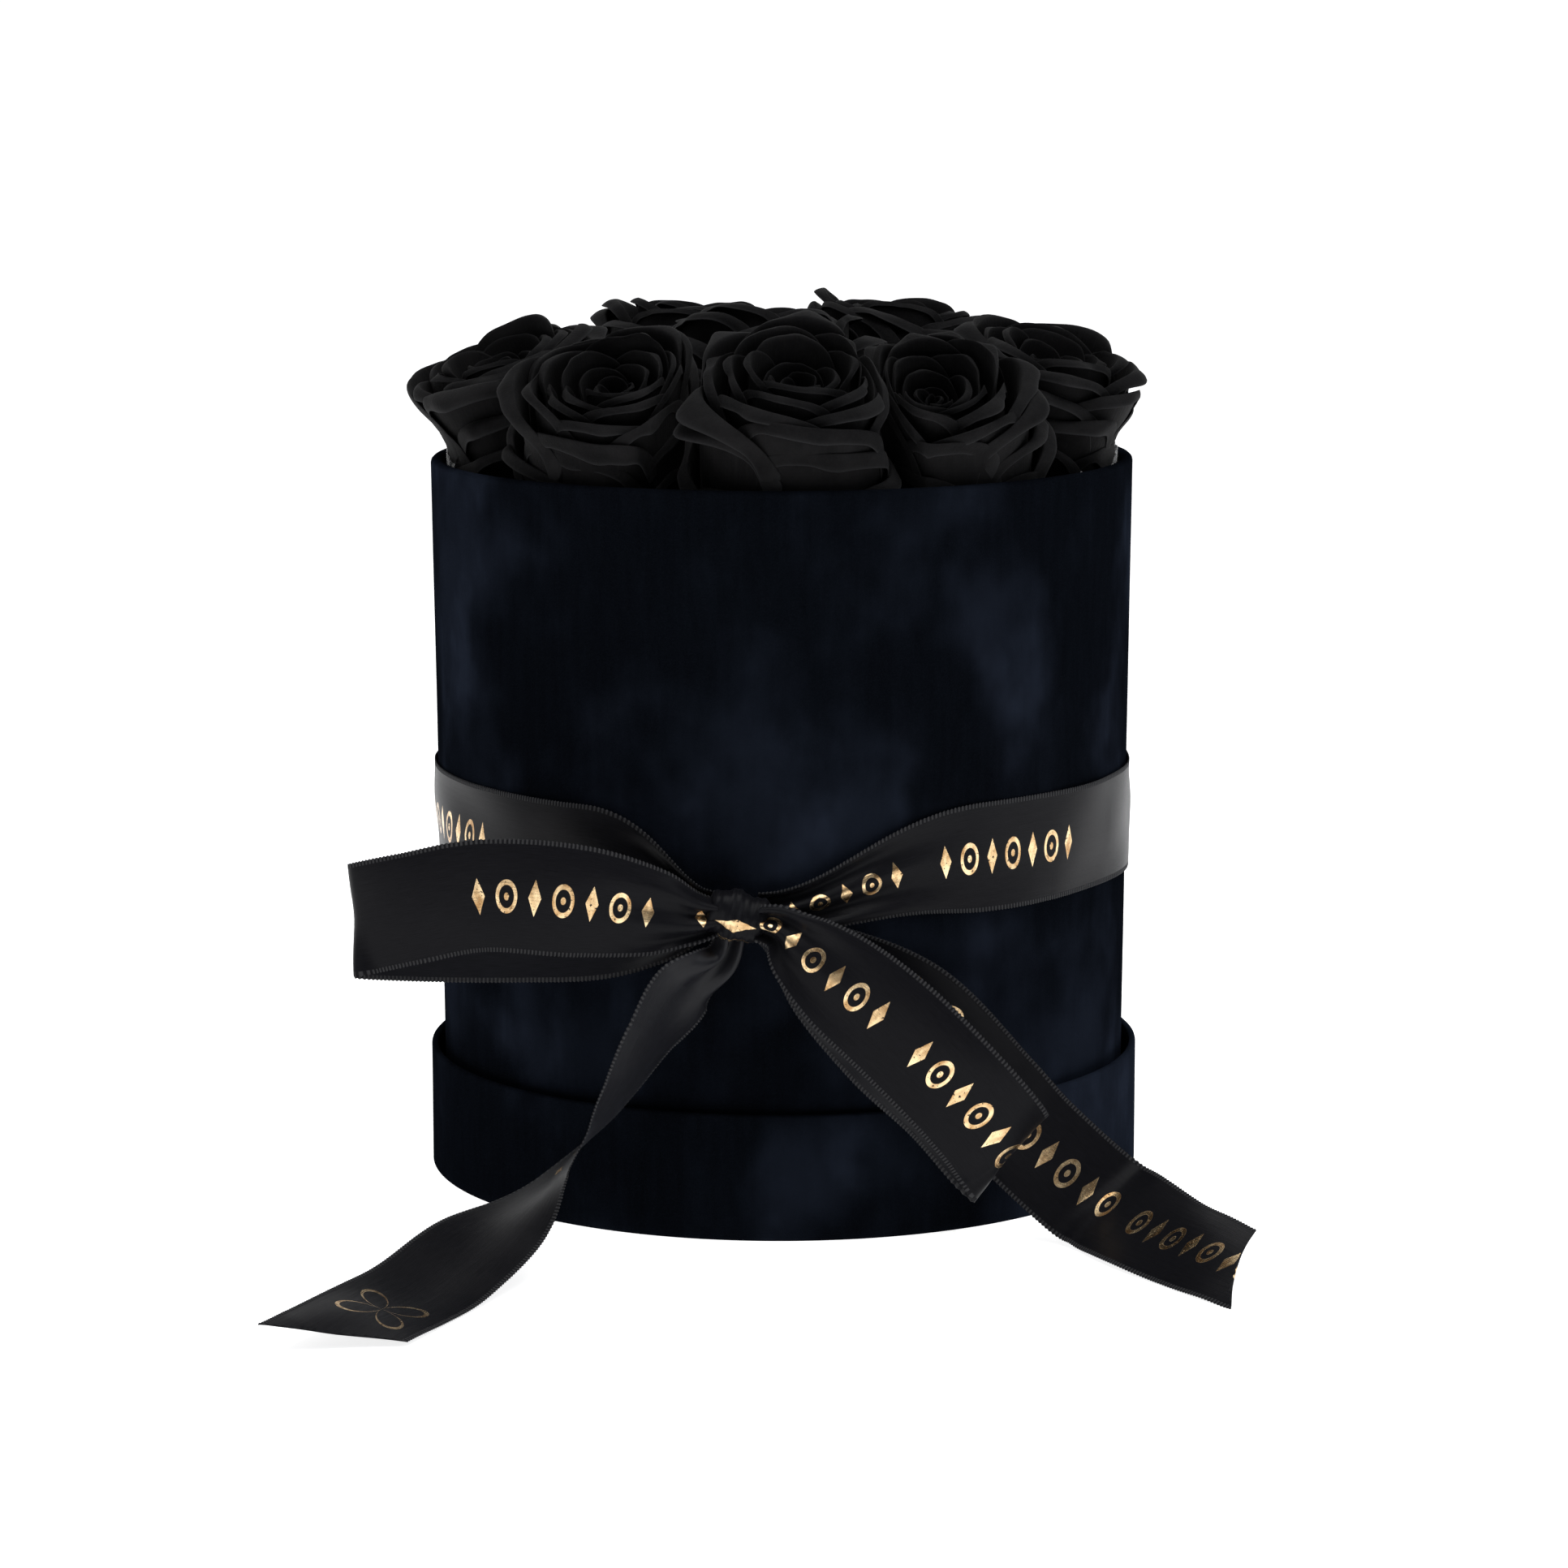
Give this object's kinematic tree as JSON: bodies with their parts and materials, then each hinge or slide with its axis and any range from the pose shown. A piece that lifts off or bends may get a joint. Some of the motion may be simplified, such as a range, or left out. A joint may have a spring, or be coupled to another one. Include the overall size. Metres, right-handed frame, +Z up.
{
  "type": "flower box",
  "caption": "Round velvet-covered board box standing in its upturned lid, filled with black preserved rose heads on a foam block and tied with a satin ribbon bow.",
  "frame": {"origin": "middle of the upturned lid's flat face, where it meets the table", "axes": "+Z up along the box's axis, -Y towards the front where the bow is tied, +X to the right seen from the front"},
  "size_m": [0.219, 0.268, 0.2089],
  "materials": {
    "velvet": "matte",
    "greyboard": "matte",
    "lining_paper": "matte",
    "film": "gloss",
    "foam": "matte",
    "petals": "matte",
    "sepals": "matte",
    "stem": "matte",
    "ribbon_satin": "satin"
  },
  "bodies": {
    "lid": {"lid_velvet_band": "velvet", "lid_velvet_disc": "velvet", "lid_board_ring": "greyboard", "lid_board_disc": "greyboard", "lid_lining_disc": "lining_paper", "lid_lining_ring": "lining_paper"},
    "box": {"box_board_tube": "greyboard", "box_board_bottom": "greyboard", "box_velvet_sleeve": "velvet", "box_velvet_base": "velvet", "box_lining_wall": "lining_paper", "box_lining_floor": "lining_paper", "film_liner": "film", "floral_foam": "foam", "rose_head_1": "petals", "rose_head_2": "petals", "rose_head_3": "petals", "rose_head_4": "petals", "rose_head_5": "petals", "rose_head_6": "petals", "rose_head_7": "petals", "rose_head_8": "petals", "rose_calyx_1": "sepals", "rose_calyx_2": "sepals", "rose_calyx_3": "sepals", "rose_calyx_4": "sepals", "rose_calyx_5": "sepals", "rose_calyx_6": "sepals", "rose_calyx_7": "sepals", "rose_calyx_8": "sepals", "rose_stem_1": "stem", "rose_stem_2": "stem", "rose_stem_3": "stem", "rose_stem_4": "stem", "rose_stem_5": "stem", "rose_stem_6": "stem", "rose_stem_7": "stem", "rose_stem_8": "stem", "ribbon_band": "ribbon_satin", "bow_knot": "ribbon_satin", "bow_loop_left": "ribbon_satin", "bow_loop_right": "ribbon_satin", "ribbon_tail_left": "ribbon_satin", "ribbon_tail_right": "ribbon_satin"}
  },
  "joints": [
    {"name": "box_lift", "type": "slide", "parent": "lid", "child": "box", "axis": [0, 0, 1], "range_m": [0, 0.06]}
  ]
}
